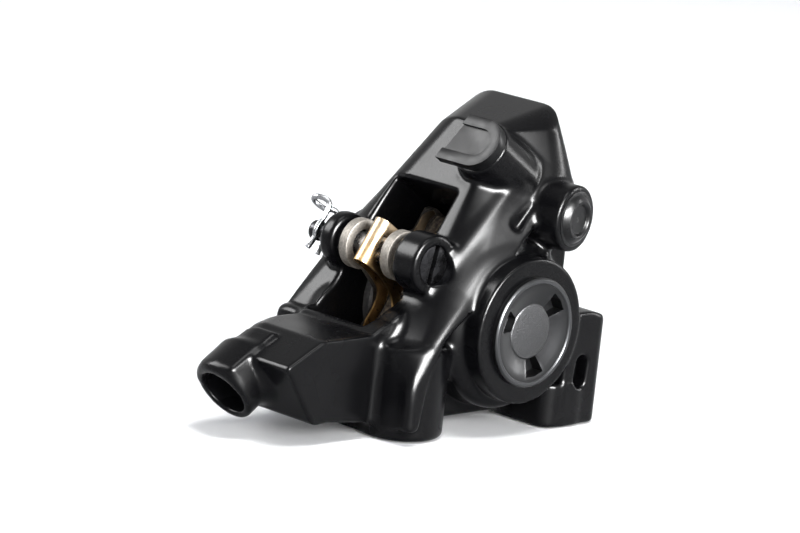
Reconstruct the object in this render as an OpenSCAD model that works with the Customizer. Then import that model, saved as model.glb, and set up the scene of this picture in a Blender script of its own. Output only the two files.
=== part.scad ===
// Flat-mount disc brake caliper for a road bicycle, in millimetres.
// X runs along the two mounting screws, towards the tall rear end.
// Y runs across the bicycle: minus is outboard (cap side), plus is inboard (wheel side).
// Z is up from the mounting face. The origin lies midway between the two mounting holes.

/* [Mounting] */
// Distance between the two mounting holes
mount_pitch = 34; // [33:0.5:36]
// Diameter of the mounting thread
mount_thread_d = 5; // [4:0.5:6]
// Depth of the mounting thread
mount_thread_depth = 12; // [8:0.5:13]
// Radius of the round front foot
front_foot_r = 6; // [5.6:0.1:6.4]
// Height of the front foot
front_foot_h = 16.2; // [15.8:0.1:16.6]
// Height of the rear foot
rear_foot_h = 18.4; // [17.5:0.1:19.5]
// Reach of the rear foot outboard of the holes
rear_foot_reach = 8.2; // [7.6:0.1:8.6]
// Rear face of the rear foot, behind its hole
rear_foot_back = 3.6; // [3.4:0.1:4.2]
// Length of the rear foot's toe in front of its screw
rear_toe_len = 9.4; // [9:0.1:9.8]
// Height of that toe
rear_toe_h = 7; // [6:0.1:7.4]

/* [Rotor] */
// Distance from the screw line to the middle of the rotor
rotor_offset = 10.2; // [9.8:0.1:10.6]
// Diameter of the rotor
rotor_d = 140; // [138:1:141]
// Width of the slot that the rotor runs in
rotor_slot_w = 5; // [4.6:0.1:5.6]
// Clearance round the rim of the rotor
rotor_rim_gap = 2; // [1.5:0.1:2.5]
// Wheel axle behind the origin
wheel_x = 49; // [48.5:0.1:49.5]
// Wheel axle below the mounting face
wheel_drop = 21; // [20.5:0.1:21.5]

/* [Pistons] */
// Piston centre behind the origin
piston_x = 1; // [0.5:0.1:1.5]
// Piston centre above the mounting face
piston_z = 16.6; // [16.2:0.1:17]
// Piston diameter
piston_d = 22; // [20:0.5:22.5]
// Piston length
piston_len = 8.6; // [8:0.1:9]
// Wall at the closed end of the piston cup
piston_floor = 3; // [2.5:0.5:4]
// Wall round the piston cup
piston_wall = 3; // [2.5:0.5:4]
// Running clearance of the pistons, on the radius
piston_gap = 0.05; // [0.03:0.01:0.08]
// Stroke of each piston towards the rotor
piston_stroke = 1.4; // [1:0.1:1.5]
// Width of a piston seal
seal_w = 2; // [1.6:0.1:2.2]
// Depth of a piston seal on the radius
seal_depth = 1.8; // [1.4:0.1:2]
// Fluid space behind each piston
chamber_depth = 0.8; // [0.6:0.1:1]

/* [Bore cap] */
// Diameter of the cap's flange
cap_d = 17.5; // [17:0.1:18]
// Diameter of the cap's threaded body
cap_body_d = 15.4; // [15:0.1:15.8]
// How far the flange stands out of the boss
cap_proud = 1; // [0.8:0.1:1.2]
// Diameter of the grained disc in the cap's middle
cap_disc_d = 8.8; // [8:0.1:9.4]
// Depth of the dish round the disc
cap_dish = 1.1; // [0.9:0.1:1.3]
// Length of the cap's threaded body
cap_body_len = 3.7; // [3.6:0.1:3.9]
// Depth of the three tool notches below the flange's seat
cap_notch = 1.6; // [1.2:0.1:1.7]
// Section diameter of the cap's seal ring
cap_ring_d = 1; // [0.8:0.1:1.1]

/* [Housing] */
// Radius of the flat ring round the cap
boss_r = 11.6; // [11.4:0.1:12]
// Radius of the housing behind that ring
housing_r = 13.5; // [13.3:0.1:13.8]
// Outboard face of the ring, from the screw line
boss_out = 8.8; // [8.6:0.1:9]
// Thickness of the inboard housing's end wall
end_wall = 2.2; // [2:0.1:2.6]
// Bevel round the inboard housing's end
end_bevel = 2.4; // [2:0.1:2.8]

/* [Pads] */
// Angle of the line from piston to pad axle above the mounting face
pad_angle = 33; // [32:0.5:34]
// Distance from piston centre to pad axle
pad_axle_t = 18.6; // [18.4:0.1:18.9]
// Length of a pad along the rotor
pad_len = 25; // [24.4:0.1:25.4]
// Top edge of a pad above the piston centre
pad_top = 8.8; // [8.6:0.1:9]
// Bottom edge of a pad below the piston centre
pad_bottom = 9.4; // [9:0.1:10]
// Thickness of a pad's backing plate
plate_t = 1.7; // [1.6:0.1:1.8]
// Thickness of a pad's friction material
friction_t = 2; // [1.6:0.1:2.1]
// Gap between the two friction faces at rest
pad_gap = 3.3; // [3.2:0.1:3.6]
// Radius of a pad's eyelet
eyelet_r = 4; // [3.8:0.1:4.2]
// Hole in a pad's eyelet
eyelet_hole_d = 4.8; // [4.7:0.1:5]
// Half the width of the pocket that holds the pads
pocket_half = 6.7; // [6.5:0.1:6.8]
// Gap between a pad and each end of its pocket
pocket_end_gap = 0.6; // [0.5:0.1:0.8]
// Drop from the pad axle to the window's rim
rim_drop = 1.6; // [1.4:0.1:1.8]

/* [Pad axle] */
// Diameter of the axle's shank
axle_d = 4; // [3.8:0.1:4.2]
// Diameter of the axle's slotted head
axle_head_d = 6; // [5.8:0.1:6.4]
// Length of the axle's head
axle_head_len = 2.6; // [2.2:0.1:3]
// Width of the screwdriver slot
axle_slot_w = 1; // [0.8:0.1:1.2]
// Radius of the bosses that carry the axle
axle_boss_r = 4.7; // [4.5:0.1:4.9]
// Length of the axle's tip beyond its inboard boss
axle_tip_len = 4.7; // [4.5:0.1:4.9]
// Place of the snap retainer beyond that boss
clip_reach = 3.05; // [2.95:0.05:3.15]
// Wire diameter of the snap retainer
clip_wire_d = 0.9; // [0.8:0.05:1]

/* [Pad spring] */
// Thickness of the spring's sheet
spring_t = 0.35; // [0.3:0.05:0.4]
// Width of the spring's saddle over the axle
saddle_w = 7.6; // [7:0.1:8]

/* [Bleed fittings] */
// Bleed screw behind the origin
bleed_x = 9.6; // [9.4:0.1:9.8]
// Bleed screw above the mounting face
bleed_z = 33.8; // [33.6:0.1:34]
// Radius of the bleed screw's boss
bleed_boss_r = 5.3; // [5.1:0.1:5.5]
// Diameter of the bleed screw's round cover
bleed_cover_d = 8.8; // [8.4:0.1:9]
// Diameter of the bleed screw's thread
bleed_screw_d = 5; // [4.8:0.1:5.2]
// Depth of the bleed screw's bore
bleed_bore_len = 8.2; // [8:0.1:8.4]
// Diameter of the bleed screw's tip
bleed_tip_d = 2.4; // [2.3:0.1:2.6]
// Turn of the bleed screw's axis towards the rear
bleed_turn = 9; // [8:0.5:10]
// Bleed nipple along the slope from the piston centre
nipple_s = 20.4; // [20:0.1:20.8]
// Bleed nipple inboard of the screw line
nipple_y = 1.4; // [1.2:0.1:1.6]
// Radius of the bleed nipple's boss
nipple_boss_r = 4.7; // [4.6:0.1:4.9]
// Top of that boss above the piston centre
nipple_boss_t = 19.3; // [19.1:0.1:19.5]
// Width of the bleed nipple's cap
cap_w = 8.3; // [8:0.1:8.6]
// Length of the bleed nipple's cap
cap_len = 10.6; // [10.2:0.1:11]

/* [Hose port] */
// Port face behind the origin
port_x = -44; // [-44.5:0.1:-43.5]
// Port centre above the mounting face
port_z = 6.2; // [6:0.1:6.4]
// Port centre inboard of the screw line
port_y = 12; // [11.8:0.1:12.2]
// Slope of the port's axis below the mounting plane
port_angle = 36; // [35:0.5:37]
// Radius of the port's boss
port_boss_r = 5.4; // [5.3:0.1:5.6]
// Diameter of the hose thread
port_thread_d = 8; // [7.5:0.5:8]
// Depth of the hose thread
port_thread_depth = 9; // [8:0.5:10]

/* [Hidden] */
$fn = 64;

// Half spaces that trim the casting are this big
cut = 90;
// Small clearances: fixed pieces, screwed fits and the running fit of a pin
fixed_gap = 0.03;
pin_gap = 0.05;
loose_gap = 0.3;

paint = "#2b2c30";
steel = "#b9bbbe";
gold = "#c9a566";
plate_steel = "#a89f92";
lining = "#6e665c";
rubber = "#2a2a2c";
satin = "#8d9096";

// Faces of the casting across the bicycle
ridge_out = 2.1;
ridge_in = 2 * rotor_offset + ridge_out;
cheek_in = ridge_in + 1.7;
web_in = 1;
arm_out = 7;
bleed_out = 8;
wall_out = rotor_offset - pocket_half;
wall_in = rotor_offset + pocket_half;
slot_out = rotor_offset - rotor_slot_w / 2;
slot_in = rotor_offset + rotor_slot_w / 2;
axle_face_out = 1.6;
axle_face_in = rotor_offset + 9.8;
axle_bevel = 1.2;
rim_t = pad_axle_t - rim_drop;
pocket_s = pad_len / 2 + pocket_end_gap;
pocket_floor = -pad_bottom - 0.8;
nose_out = 0;
nose_in = port_y + port_boss_r - 0.6;
nose_top = 16.2;
nose_fold_x = port_x + 8.5;
nose_set_back = 4.6;
nose_blend = 5;

// Pads and pistons across the bicycle, measured from the middle of the rotor
friction_face = pad_gap / 2;
plate_inner = friction_face + friction_t;
plate_outer = plate_inner + plate_t;
piston_face = plate_outer + fixed_gap;
piston_back = piston_face + piston_len;
bore_end = piston_back + chamber_depth;
housing_end = bore_end + end_wall;
seal_front = pocket_half + 1;

// Bores and screws
bore_r = piston_d / 2;
mount_r = mount_thread_d / 2;
axle_r = axle_d / 2;
axle_head_r = axle_head_d / 2;
axle_tip_r = axle_r - 0.4;
axle_groove_r = axle_tip_r - 0.45;
axle_tip_in = axle_face_in + axle_tip_len;
clip_y = axle_face_in + clip_reach;
port_r = port_thread_d / 2;
gallery_r = 1.1;
cross_t = nipple_boss_t - 8.5;
plug_r = 1.6;
plug_y = 15.8;
front_hole_x = -mount_pitch / 2;
rear_hole_x = mount_pitch / 2;
rear_toe_x = rear_hole_x - rear_toe_len;
sweep_sides = 8;

// Point at s up the slope and t out from the piston centre, as [x, z]
function st(s, t) = [
    piston_x + s * sin(pad_angle) - t * cos(pad_angle),
    piston_z + s * cos(pad_angle) + t * sin(pad_angle)
];

// The same point with its place across the bicycle, as [x, y, z]
function sty(s, t, y) = [st(s, t)[0], y, st(s, t)[1]];

axle_xz = st(0, pad_axle_t);

// Frame whose X runs up the slope, Y inboard and Z out from the wheel
module pad_frame() {
    translate([piston_x, 0, piston_z]) rotate([0, pad_angle - 90, 0]) children();
}

// Side outline drawn in X and Z, from one Y to another
module side(y_from, y_to, points) {
    translate([0, y_to, 0]) rotate([90, 0, 0]) linear_extrude(y_to - y_from) polygon(points);
}

// Rod along Y, from one Y to another
module rod_y(x, z, r, y_from, y_to) {
    translate([x, y_to, z]) rotate([90, 0, 0]) cylinder(r = r, h = y_to - y_from);
}

// Rod between two points
module rod(p, q, r) {
    d = q - p;
    translate(p) rotate([0, acos(d[2] / norm(d)), atan2(d[1], d[0])]) cylinder(r = r, h = norm(d));
}

// Everything beyond a plane whose outward normal has a turn about Z and a rise above level
module beyond(point, turn, rise) {
    translate(point) rotate([0, 0, turn]) rotate([0, -rise, 0])
        translate([0, -cut, -cut]) cube([cut, 2 * cut, 2 * cut]);
}

// Profile of [radius, height] points turned about an axis that points outboard
module turned(x, y, z, points) {
    translate([x, y, z]) rotate([90, 0, 0]) rotate_extrude() polygon(points);
}

// Frames at the hose port, the bleed screw and the bleed nipple, whose Z is the axis
module port_frame() {
    translate([port_x, port_y, port_z]) rotate([0, 90 - port_angle, 0]) children();
}

module bleed_frame() {
    translate([bleed_x, -bleed_out, bleed_z]) rotate([0, 0, bleed_turn]) rotate([90, 0, 0]) children();
}

module nipple_frame() {
    pad_frame() translate([nipple_s, nipple_y, 0]) children();
}

// Outboard flank, lettering face, top block and the arm down to the front foot
module upper_body() {
    top_front = st(25, rim_t);
    difference() {
        side(-arm_out, cheek_in, [
            [-22.5, 12.5], [-22.5, 15.8], st(-12.4, rim_t), top_front,
            [13.3, 50], [16.6, 38], [14, 34], [5.2, 32.4], [-0.5, 27.8], [-8.7, 21.2], [-14, 17.4],
            [-18, 14.5], [-20, 12.5]
        ]);
        beyond([0.3, 0.3, 46.8], 261.3, 21.7);
        pad_frame() beyond([0, -0.2, rim_t], 275, 67);
        beyond([13.2, -1, 50], 315, 12);
        inboard_flank();
    }
}

// Trims the inboard half, which narrows towards the top block
module inboard_flank() {
    pad_frame() beyond([-8, ridge_in + 1.4, rim_t], 72, 38);
}

module lower_body() {
    difference() {
        union() {
            side(web_in, cheek_in, [
                [-21, 1], [-21.5, 15.4], st(-12.4, rim_t), st(18, 12), [16.4, 38], [16.8, 20], [16.8, 1]
            ]);
            side(-ridge_out, cheek_in, [
                [15.2, 22], [-3, 22], [-12, 17], st(0, rim_t), st(20, 12), [15.2, 38]
            ]);
        }
        inboard_flank();
    }
}

module nose_bevel() {
    beyond([nose_fold_x - 2, nose_in, nose_top - 3.4], 118, 40);
}

module nose() {
    difference() {
        side(nose_out, nose_in, [
            [-20, 2], st(nose_blend - 13, rim_t), [-20 - nose_blend, nose_top], [nose_fold_x, nose_top],
            [port_x - 4, port_z + 3.9], [port_x + 4, port_z - 3.6], [-33, 3.2]
        ]);
        port_frame() translate([-cut / 2, -cut / 2, nose_set_back - cut]) cube(cut);
        nose_bevel();
    }
    difference() {
        side(port_y - 4, nose_in, [
            [nose_fold_x - 2.1, nose_top], [port_x - 2.9, port_z + 4.7], [port_x, port_z + 1.8],
            [nose_fold_x - 0.5, nose_top - 6.2]
        ]);
        nose_bevel();
    }
    port_frame() cylinder(r = port_boss_r, h = port_thread_depth + 1);
}

module feet() {
    translate([front_hole_x, 0, 0]) cylinder(r = front_foot_r, h = front_foot_h);
    translate([front_hole_x + 1.4, 0, 0]) cylinder(r = front_foot_r - 0.3, h = front_foot_h - 1);
    translate([front_hole_x - front_foot_r + 0.6, 0, 0]) cube([2 * front_foot_r - 1, slot_out + 8, 13]);
    difference() {
        translate([rear_hole_x - 6.2, -rear_foot_reach, 0])
            cube([6.2 + rear_foot_back, rear_foot_reach + slot_out, rear_foot_h]);
        beyond([rear_hole_x + rear_foot_back - 3.2, 0, rear_foot_h], 0, 66);
        beyond([rear_hole_x + rear_foot_back, 1.6 - rear_foot_reach, 0], 315, 0);
    }
    linear_extrude(rear_toe_h) polygon([
        [rear_toe_x, slot_out], [rear_toe_x, 2.4 - rear_foot_reach], [rear_toe_x + 2.4, -rear_foot_reach],
        [rear_hole_x - 2, -rear_foot_reach], [rear_hole_x - 2, slot_out]
    ]);
}

module housings() {
    cone_front = rotor_offset - bore_end + 1.2;
    cone_len = 3.2;
    rod_y(piston_x, piston_z, boss_r, -boss_out, wall_out);
    translate([piston_x, cone_front, piston_z]) rotate([90, 0, 0])
        cylinder(r1 = housing_r, r2 = boss_r, h = cone_len);
    rod_y(piston_x, piston_z, housing_r, cone_front, wall_out);
    rod_y(piston_x, piston_z, housing_r, wall_in, rotor_offset + housing_end - end_bevel);
    translate([piston_x, rotor_offset + housing_end - end_bevel, piston_z]) rotate([-90, 0, 0])
        cylinder(r1 = housing_r, r2 = housing_r - end_bevel, h = end_bevel);
}

module bosses() {
    rod_y(axle_xz[0], axle_xz[1], axle_boss_r, -axle_face_out, rotor_offset - plate_outer - loose_gap);
    inboard_boss_r = axle_boss_r - 0.4;
    boss_end = axle_face_in - axle_bevel;
    rod_y(axle_xz[0], axle_xz[1], inboard_boss_r, rotor_offset + plate_outer + loose_gap, boss_end);
    translate([axle_xz[0], boss_end, axle_xz[1]]) rotate([-90, 0, 0])
        cylinder(r1 = inboard_boss_r, r2 = inboard_boss_r - axle_bevel, h = axle_bevel);
    bleed_frame() translate([0, 0, -9]) cylinder(r = bleed_boss_r, h = 9);
    nipple_frame() translate([0, 0, 9]) cylinder(r = nipple_boss_r, h = nipple_boss_t - 9);
}

module piston_bores() {
    cap_bore_r = cap_body_d / 2 + fixed_gap;
    rod_y(piston_x, piston_z, bore_r, rotor_offset - bore_end, rotor_offset);
    rod_y(piston_x, piston_z, bore_r, rotor_offset, rotor_offset + bore_end);
    rod_y(piston_x, piston_z, cap_bore_r, -boss_out - 1, rotor_offset - bore_end + 0.5);
    for (turn = [0, 180]) {
        translate([piston_x, rotor_offset, piston_z]) rotate([0, 0, turn])
            rod_y(0, 0, bore_r + seal_depth, seal_front, seal_front + seal_w);
    }
}

module screw_bores() {
    for (x = [front_hole_x, rear_hole_x]) {
        translate([x, 0, -1]) cylinder(r = mount_r, h = mount_thread_depth + 1);
    }
    port_frame() translate([0, 0, -1]) cylinder(r = port_r, h = port_thread_depth + 1);
    rod_y(axle_xz[0], axle_xz[1], axle_r + pin_gap, -arm_out - 3, axle_face_in + 1);
    rod_y(axle_xz[0], axle_xz[1], axle_head_r + pin_gap, -arm_out - 3, axle_head_len - 1.2 + pin_gap);
    bleed_frame() {
        translate([0, 0, -bleed_bore_len])
            cylinder(d = bleed_screw_d + 2 * fixed_gap, h = bleed_bore_len + 0.4);
        translate([0, 0, -2.2]) cylinder(d = bleed_cover_d - 1.2, h = 3);
    }
    nipple_frame() {
        translate([0, 0, nipple_boss_t - 8]) cylinder(r = 2.5 + fixed_gap, h = 9);
        translate([0, 0, nipple_boss_t - 3.4]) cylinder(r = 3.2, h = 4);
    }
}

// Points that the oblique drillings join
chamber_y = rotor_offset - bore_end + chamber_depth / 2;
valve_depth = bleed_bore_len - 1.3;
valve = [bleed_x - valve_depth * sin(bleed_turn), valve_depth * cos(bleed_turn) - bleed_out, bleed_z];

// Rib round the drilling from the outboard chamber to the bleed screw
module bleed_rib() {
    rod(sty(9.6, 0.5, chamber_y), valve, gallery_r + 1);
}

// Oblique drillings that join the port, both chambers and the bleed fittings
module galleries() {
    port_depth = port_thread_depth - 1.5;
    port_end = [
        port_x + port_depth * cos(port_angle), port_y, port_z + port_depth * sin(port_angle)
    ];
    far_chamber_y = rotor_offset + bore_end - chamber_depth / 2;
    rod(port_end, [-8.6, chamber_y, 15.2], gallery_r);
    rod(sty(9.6, 0.5, chamber_y), valve, gallery_r);
    rod(valve, sty(nipple_s, nipple_boss_t - 6.6, nipple_y), gallery_r);
    rod(sty(nipple_s, cross_t, nipple_y), sty(nipple_s, cross_t, plug_y), gallery_r);
    rod(sty(nipple_s, cross_t, plug_y), sty(nipple_s, cross_t, plug_y + 8), plug_r - 0.05);
    rod(sty(nipple_s, cross_t, plug_y - 2.2), sty(9.2, 1.2, far_chamber_y), gallery_r);
}

module caliper_body() {
    color(paint) difference() {
        union() {
            upper_body();
            lower_body();
            nose();
            feet();
            housings();
            bosses();
            bleed_rib();
        }
        pad_frame() side(wall_out, wall_in, [
            [-pocket_s, 30], [-pocket_s, -5.8], [2.4 - pocket_s, pocket_floor],
            [pocket_s - 2.4, pocket_floor], [pocket_s, -5.8], [pocket_s, 30]
        ]);
        rod_y(wheel_x, -wheel_drop, rotor_d / 2 + rotor_rim_gap, slot_out, slot_in);
        piston_bores();
        screw_bores();
        galleries();
    }
}

// Threaded cap over the outboard bore: flange, dish, grained disc and three tool notches
module bore_cap() {
    body_r = cap_body_d / 2;
    flange_r = cap_d / 2;
    disc_r = cap_disc_d / 2;
    groove_r = body_r - cap_ring_d - 0.05;
    groove_top = cap_ring_d + 1;
    dish_r = flange_r - 1.1;
    color(satin) difference() {
        turned(piston_x, -boss_out, piston_z, [
            [0, -cap_body_len], [body_r, -cap_body_len], [body_r, -groove_top - cap_ring_d - 0.2],
            [groove_r, -groove_top - cap_ring_d - 0.2], [groove_r, -groove_top], [body_r, -groove_top],
            [body_r, 0], [flange_r, 0], [flange_r, cap_proud - 0.25], [flange_r - 0.25, cap_proud],
            [dish_r + 0.35, cap_proud], [dish_r + 0.2, cap_proud - 0.2], [dish_r, cap_proud - 0.2],
            [disc_r, cap_proud - cap_dish], [disc_r - 0.2, cap_proud - cap_dish + 0.15],
            [0, cap_proud - cap_dish + 0.15]
        ]);
        for (i = [0:2]) {
            translate([piston_x, -boss_out, piston_z]) rotate([90, 0, 0])
                rotate([0, 0, 41 + 120 * i]) translate([0, 0, -cap_notch]) linear_extrude(4) polygon([
                    [disc_r - 0.1, -1.1], [dish_r - 0.7, -1.9], [dish_r - 0.4, 0],
                    [dish_r - 0.7, 1.9], [disc_r - 0.1, 1.1]
                ]);
        }
    }
}

module bore_cap_seal() {
    ring_r = cap_ring_d / 2;
    color(rubber) translate([piston_x, -boss_out, piston_z]) rotate([90, 0, 0]) rotate_extrude()
        translate([cap_body_d / 2 - ring_r - 0.05, -cap_ring_d - 1 - ring_r - 0.1])
            circle(r = ring_r - 0.05);
}

// Piston cup whose open end faces its pad; side is -1 outboard and 1 inboard
module piston(side) {
    r = bore_r - piston_gap;
    translate([piston_x, rotor_offset + side * piston_face, piston_z])
        rotate([side * -90, 0, 0]) rotate_extrude() polygon([
            [0, piston_len - piston_floor], [r - piston_wall, piston_len - piston_floor],
            [r - piston_wall, 0], [r - 0.4, 0], [r, 0.4], [r, piston_len - 0.5],
            [r - 0.5, piston_len], [0, piston_len]
        ]);
}

module piston_outboard() {
    color("#5a5b5e") piston(-1);
}

module piston_inboard() {
    color("#5a5b5e") piston(1);
}

module piston_seal(side) {
    inner = bore_r - piston_gap + fixed_gap;
    outer = bore_r + seal_depth - fixed_gap;
    translate([piston_x, rotor_offset + side * (seal_front + fixed_gap), piston_z])
        rotate([side * -90, 0, 0]) rotate_extrude() polygon([
            [inner, 0], [outer, 0], [outer, seal_w - 2 * fixed_gap], [inner, seal_w - 2 * fixed_gap]
        ]);
}

module piston_seal_outboard() {
    color(rubber) piston_seal(-1);
}

module piston_seal_inboard() {
    color(rubber) piston_seal(1);
}

// Backing plate with its eyelet, between two distances from the rotor's middle
module pad_plate(side) {
    half = pad_len / 2;
    near = rotor_offset + (side < 0 ? -plate_outer : plate_inner);
    pad_frame() translate([0, near + plate_t, 0]) rotate([90, 0, 0]) linear_extrude(plate_t)
        difference() {
            union() {
                polygon([
                    [-half, -5.5], [-half + 2.6, -pad_bottom], [half - 2.6, -pad_bottom],
                    [half, -5.5], [half, pad_top - 0.7], [half - 0.7, pad_top], [5.4, pad_top],
                    [3.9, pad_top + 1.6], [2.6, pad_axle_t - 2.7], [-2.6, pad_axle_t - 2.7],
                    [-3.9, pad_top + 1.6], [-5.4, pad_top], [0.7 - half, pad_top],
                    [-half, pad_top - 0.7]
                ]);
                translate([0, pad_axle_t]) circle(r = eyelet_r);
            }
            translate([0, pad_axle_t]) circle(d = eyelet_hole_d);
        }
}

module pad_plate_outboard() {
    color(plate_steel) pad_plate(-1);
}

module pad_plate_inboard() {
    color(plate_steel) pad_plate(1);
}

// Lining bonded to a plate, its top edge an arc of the rotor
module pad_friction(side) {
    half = pad_len / 2 - 0.8;
    near = rotor_offset + (side < 0 ? -plate_inner : friction_face);
    intersection() {
        pad_frame() side(near, near + friction_t, [
            [-half, -5], [-half + 2.4, 0.8 - pad_bottom], [half - 2.4, 0.8 - pad_bottom], [half, -5],
            [half, pad_top - 1.8], [half - 0.8, pad_top - 1], [0.8 - half, pad_top - 1],
            [-half, pad_top - 1.8]
        ]);
        rod_y(wheel_x, -wheel_drop, rotor_d / 2, near - 1, near + friction_t + 1);
    }
}

module pad_friction_outboard() {
    color(lining) pad_friction(-1);
}

module pad_friction_inboard() {
    color(lining) pad_friction(1);
}

// Sprung sheet: a saddle over the axle and four arms that press the plates apart
module pad_spring() {
    half = saddle_w / 2;
    wall_y = 1.45;
    wall_low = pad_top + 2.4;
    hole_r = axle_r + 0.1;
    saddle_t = pad_axle_t + hole_r + 0.2;
    tip_s = pad_len / 2 - 0.8;
    tip_y = plate_inner - 0.15;
    color(gold) translate([0, rotor_offset, 0]) pad_frame() {
        difference() {
            translate([-half, 0, 0]) rotate([90, 0, 90]) linear_extrude(saddle_w) difference() {
                union() {
                    translate([0, saddle_t]) circle(r = wall_y);
                    translate([-wall_y, wall_low]) square([2 * wall_y, saddle_t - wall_low]);
                }
                translate([0, saddle_t]) circle(r = wall_y - spring_t);
                translate([spring_t - wall_y, wall_low - 1])
                    square([2 * (wall_y - spring_t), saddle_t - wall_low + 1]);
            }
            translate([0, wall_y + 1, pad_axle_t]) rotate([90, 0, 0])
                cylinder(r = hole_r, h = 2 * wall_y + 2);
        }
        for (turn = [0, 180], s = [-1, 1]) {
            rotate([0, 0, turn]) intersection() {
                side(0, tip_y + 1, [
                    [s * half, wall_low], [s * half, pad_axle_t - 1], [s * (half + 0.6), pad_top + 6],
                    [s * (half + 1.3), pad_top + 4.2], [s * (half + 4), pad_top + 2.4],
                    [s * (half + 6.2), pad_top + 1.6], [s * tip_s, pad_top + 0.4],
                    [s * tip_s, pad_top - 0.6], [s * (half + 4), pad_top + 0.8]
                ]);
                linear_extrude(pad_axle_t) polygon([
                    [s * (half - 0.5), wall_y], [s * half, wall_y], [s * (half + 1.2), wall_y + 0.1],
                    [s * (tip_s - 2), tip_y - 0.3], [s * (tip_s + 1), tip_y],
                    [s * (tip_s + 1), tip_y - spring_t], [s * (tip_s - 2), tip_y - spring_t - 0.3],
                    [s * (half + 1.2), wall_y + 0.1 - spring_t], [s * half, wall_y - spring_t],
                    [s * (half - 0.5), wall_y - spring_t]
                ]);
            }
        }
    }
}

module pad_axle() {
    head_face = -1.2;
    color(steel) difference() {
        union() {
            rod_y(axle_xz[0], axle_xz[1], axle_head_r, head_face, head_face + axle_head_len);
            rod_y(axle_xz[0], axle_xz[1], axle_r, head_face + axle_head_len - 0.1, axle_face_in);
            rod_y(axle_xz[0], axle_xz[1], axle_tip_r, axle_face_in - 0.1, clip_y - 0.6);
            rod_y(axle_xz[0], axle_xz[1], axle_groove_r, clip_y - 0.7, clip_y + 0.7);
            rod_y(axle_xz[0], axle_xz[1], axle_tip_r, clip_y + 0.6, axle_tip_in);
        }
        translate([axle_xz[0], head_face, axle_xz[1]]) rotate([0, 12, 0])
            translate([-axle_slot_w / 2, -1, -4]) cube([axle_slot_w, 2.1, 8]);
    }
}

// Points of the retainer's wire: two legs that straddle the axle's groove and a pull loop
clip_gap = axle_groove_r + clip_wire_d / 2 + 0.05;
clip_path = [
    [-3.1, 0, -2.2], [-2.3, 0, -1.4], [-clip_gap - 0.1, 0, -0.6], [-clip_gap, 0, 0.4],
    [-1.2, 0, 1.25], [-0.5, 0, 2], [0.1, 0, 2.8], [0.7, 0, 3.9], [0.95, 0.2, 4.6],
    [0.75, 0.9, 5.1], [0.3, 1.9, 5.3], [0.2, 2.7, 5.1], [0.4, 3.1, 4.6], [0.9, 2.9, 4],
    [1.3, 2.1, 3.5], [1.5, 1.1, 3.3], [1.9, 0.3, 3.4], [2.5, 0, 3.1], [2.7, 0, 2.4],
    [2.2, 0, 1.5], [clip_gap, 0, 0.6], [clip_gap, 0, -0.4], [1.2, 0, -1.4], [0.3, 0, -2.2],
    [-0.4, 0, -2.7], [-0.8, 0, -3.6]
];

// Direction of a path at one of its points
function heading(path, i) =
    let (a = path[max(i - 1, 0)], b = path[min(i + 1, len(path) - 1)]) (b - a) / norm(b - a);

// Round tube along a path, as one closed solid
module wire(path, d) {
    n = len(path);
    up = [0, 1, 0.01];
    rings = [for (i = [0:n - 1])
        let (h = heading(path, i), u = cross(h, up) / norm(cross(h, up)), v = cross(h, u))
        for (k = [0:sweep_sides - 1])
            path[i] + d / 2 * (u * cos(360 * k / sweep_sides) + v * sin(360 * k / sweep_sides))];
    first = [for (k = [0:sweep_sides - 1]) k];
    last = [for (k = [0:sweep_sides - 1]) n * sweep_sides - 1 - k];
    wall = [for (i = [0:n - 2], k = [0:sweep_sides - 1], half = [0, 1])
        let (a = i * sweep_sides + k, b = i * sweep_sides + (k + 1) % sweep_sides)
        half == 0 ? [b, a, a + sweep_sides] : [b, a + sweep_sides, b + sweep_sides]];
    polyhedron(rings, concat([first, last], wall));
}

module snap_retainer() {
    color(steel) translate([axle_xz[0], clip_y, axle_xz[1]]) wire(clip_path, clip_wire_d);
}

// Valve screw that opens the bleed passage, under a round cover
module bleed_screw() {
    tip_end = 0.2 - bleed_bore_len;
    tip_r = bleed_tip_d / 2;
    color(steel) bleed_frame() difference() {
        union() {
            translate([0, 0, tip_end + 2.4]) cylinder(d = bleed_screw_d, h = -5.8 - tip_end);
            translate([0, 0, -3.5]) cylinder(d = bleed_screw_d - 1.4, h = 1.4);
            translate([0, 0, -2.2]) cylinder(d = bleed_screw_d + 0.8, h = 1.4);
            translate([0, 0, tip_end + 0.6]) cylinder(r = tip_r, h = 2);
            translate([0, 0, tip_end]) cylinder(r1 = tip_r / 3, r2 = tip_r, h = 0.6);
        }
        translate([0, 0, -2.6]) cylinder(r = 1.45, h = 3, $fn = 6);
    }
}

module bleed_screw_seal() {
    color(rubber) bleed_frame() translate([0, 0, -2.8]) rotate_extrude()
        translate([bleed_screw_d / 2 - 0.34, 0]) circle(r = 0.32);
}

module bleed_screw_cover() {
    r = bleed_cover_d / 2;
    color("#3c3d41") bleed_frame() difference() {
        rotate_extrude() polygon([
            [0, 0.35], [2.3, 0.4], [2.6, 0.85], [3, 0.9], [r - 0.7, 0.4], [r - 0.5, 0.1], [r, 0.1], [r, 0],
            [r - 0.65, 0], [r - 0.65, -2.1], [0, -2.1]
        ]);
        translate([0, 0, -3]) cylinder(d = bleed_screw_d + 1, h = 2.6);
    }
}

module bleed_nipple() {
    color(steel) nipple_frame() translate([0, 0, nipple_boss_t]) difference() {
        rotate_extrude() polygon([
            [0, -5.2], [2.5, -5.2], [2.5, -4.2], [2, -4.2], [2, -3.4], [2.9, -3.4], [2.9, -2.6],
            [1.7, -2.4], [1.5, -0.9], [2, -0.6], [1.5, 0.3], [0, 0.3]
        ]);
        translate([0, 0, -7]) cylinder(r = 0.7, h = 8);
    }
}

module bleed_nipple_seal() {
    color(rubber) nipple_frame() translate([0, 0, nipple_boss_t - 3.8]) rotate_extrude()
        translate([2.24, 0]) circle(r = 0.22);
}

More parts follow.
